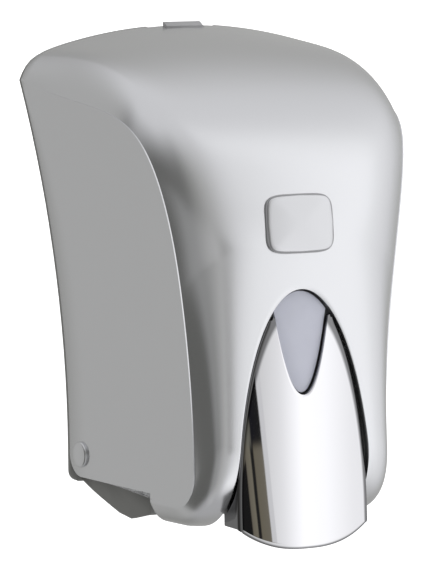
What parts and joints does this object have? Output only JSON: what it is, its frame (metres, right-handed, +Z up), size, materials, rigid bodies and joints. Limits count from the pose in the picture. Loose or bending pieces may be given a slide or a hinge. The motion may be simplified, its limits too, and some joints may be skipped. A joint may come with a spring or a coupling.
{
  "type": "wall soap foam dispenser",
  "caption": "Wall-mounted foam soap dispenser with a hinged silver cover, chrome push lever, level window, tank and foam pump.",
  "frame": {"origin": "on the wall plane, in the middle plane, at the height of the middle of the side panels", "axes": "+X to the right seen from the front, +Y into the wall, +Z up"},
  "size_m": [0.1408, 0.1131, 0.201],
  "materials": {
    "base_grey": "moulded dark grey plastic",
    "cover_silver": "plastic with satin silver paint",
    "latch_silver": "plastic with satin silver paint",
    "chrome": "bright chrome plate",
    "window": "frosted blue-grey plastic",
    "badge_dark": "dark grey printed plate",
    "badge_face": "clear resin dome over a silver ground",
    "steel": "plain steel",
    "spring_steel": "spring wire",
    "tank": "translucent plastic",
    "lid_grey": "moulded grey plastic",
    "pump_white": "moulded white plastic",
    "rubber": "black rubber",
    "mesh": "plastic mesh"
  },
  "bodies": {
    "base": {"wall_base": "base_grey", "hinge_pins": "steel", "latch_spring": "spring_steel", "soap_tank": "tank", "pump_bracket": "base_grey", "bracket_screws": "steel", "pump_collar": "pump_white", "outlet_seal": "rubber", "pump_cylinder": "pump_white", "cylinder_cap": "pump_white", "plunger_spring": "spring_steel"},
    "cover": {"front_cover": "cover_silver", "level_window": "window", "window_screws": "steel", "badge_plate": "badge_dark", "badge_dome": "badge_face", "lever_shaft": "steel", "shaft_rings": "steel", "lever_springs": "spring_steel"},
    "lever": {"push_lever": "chrome"},
    "plunger": {"pump_piston": "pump_white", "piston_seal": "rubber", "mesh_cartridge": "mesh", "foam_nozzle": "pump_white"},
    "latch": {"latch_button": "latch_silver"},
    "lid": {"tank_lid": "lid_grey", "lid_seal": "rubber"},
    "ball": {"inlet_ball": "steel"}
  },
  "joints": [
    {"name": "cover_hinge", "type": "hinge", "parent": "base", "child": "cover", "pos_m": [0, -0.012, -0.061], "axis": [1, 0, 0], "range_deg": [0, 70]},
    {"name": "lever_push", "type": "hinge", "parent": "cover", "child": "lever", "pos_m": [0, -0.098, -0.008], "axis": [1, 0, 0], "range_deg": [0, 12], "stiffness_Nm_per_rad": 0.4, "springref_deg": -11.46},
    {"name": "pump_stroke", "type": "slide", "parent": "base", "child": "plunger", "axis": [0, 0, 1], "range_m": [0, 0.008], "stiffness_N_per_m": 250, "springref_m": -0.006, "deforming": ["plunger_spring"]},
    {"name": "latch_press", "type": "slide", "parent": "base", "child": "latch", "axis": [0, 0, -1], "range_m": [0, 0.003], "stiffness_N_per_m": 400, "springref_m": -0.004, "deforming": ["latch_spring"]},
    {"name": "lid_lift", "type": "slide", "parent": "base", "child": "lid", "axis": [0, 0, 1], "range_m": [0, 0.008]},
    {"name": "ball_lift", "type": "slide", "parent": "base", "child": "ball", "axis": [0, 0, 1], "range_m": [0, 0.0008]}
  ],
  "couplings": [
    {"joint": "pump_stroke", "follows": "lever_push", "m_per_rad": 0.038197}
  ]
}
